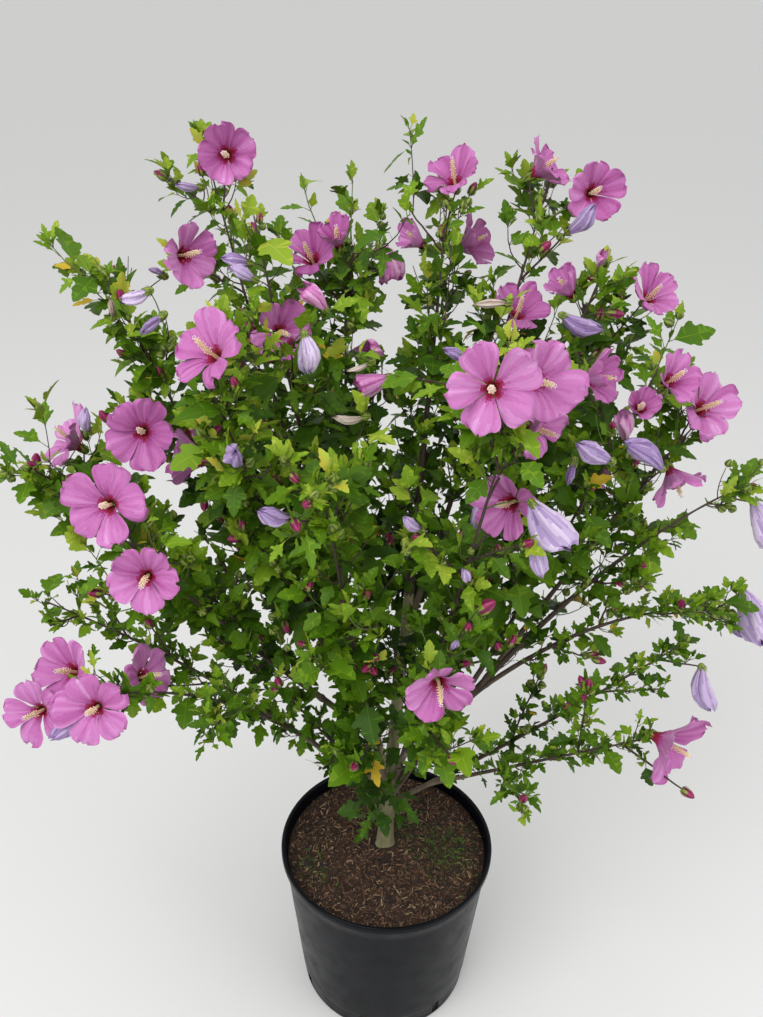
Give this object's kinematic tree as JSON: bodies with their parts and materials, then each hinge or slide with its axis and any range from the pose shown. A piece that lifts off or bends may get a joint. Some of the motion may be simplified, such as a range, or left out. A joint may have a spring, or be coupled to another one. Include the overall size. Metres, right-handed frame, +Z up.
{
  "type": "potted hibiscus shrub",
  "caption": "Flowering hibiscus shrub with an open crown of long boughs, lobed leaves and pink blooms, in a round black nursery pot.",
  "frame": {"origin": "centre of the pot's flat underside, on the surface it stands on", "axes": "+Z up along the pot's axis, -Y towards the front that the picture shows, +X to the right seen from that front"},
  "size_m": [1.0897, 0.7163, 1.4268],
  "materials": {
    "pot": "satin blue-black moulded plastic, lightly scuffed",
    "soil": "dark moist bark compost with pale chips",
    "bark": "grey-beige bark with fine fissures, purple-brown on thin shoots",
    "foliage": "thin satin leaves in several greens, lilac-pink petals"
  },
  "bodies": {
    "root": {"pot": "pot", "soil": "soil", "trunk": "bark", "bough_leader_left": "bark", "bough_leader_right": "bark", "bough_right": "bark", "bough_low_left": "bark", "bough_low_right": "bark", "bough_front_left": "bark", "bough_front_right": "bark", "bough_left": "bark", "bough_upper_left": "bark", "bough_left_inner": "bark", "bough_high_left": "bark", "bough_high_mid": "bark", "bough_left_front": "bark", "bough_low_left_front": "bark", "bough_low_right_front": "bark", "bough_front_low": "bark", "bough_high_right": "bark", "bough_upper_right": "bark", "bough_right_upper": "bark", "bough_right_mid": "bark", "bough_right_low": "bark", "bough_back_left": "bark", "bough_back_right": "bark", "bough_back_low": "bark", "bough_fork_left": "bark", "bough_fork_right": "bark", "mass_leader_left": "foliage", "mass_leader_right": "foliage", "mass_right": "foliage", "mass_low_left": "foliage", "mass_low_right": "foliage", "mass_front_left": "foliage", "mass_front_right": "foliage", "mass_left": "foliage", "mass_upper_left": "foliage", "mass_left_inner": "foliage", "mass_high_left": "foliage", "mass_high_mid": "foliage", "mass_left_front": "foliage", "mass_low_left_front": "foliage", "mass_low_right_front": "foliage", "mass_front_low": "foliage", "mass_high_right": "foliage", "mass_upper_right": "foliage", "mass_right_upper": "foliage", "mass_right_mid": "foliage", "mass_right_low": "foliage", "mass_back_left": "foliage", "mass_back_right": "foliage", "mass_back_low": "foliage", "mass_fork_left": "foliage", "mass_fork_right": "foliage"}
  },
  "joints": []
}
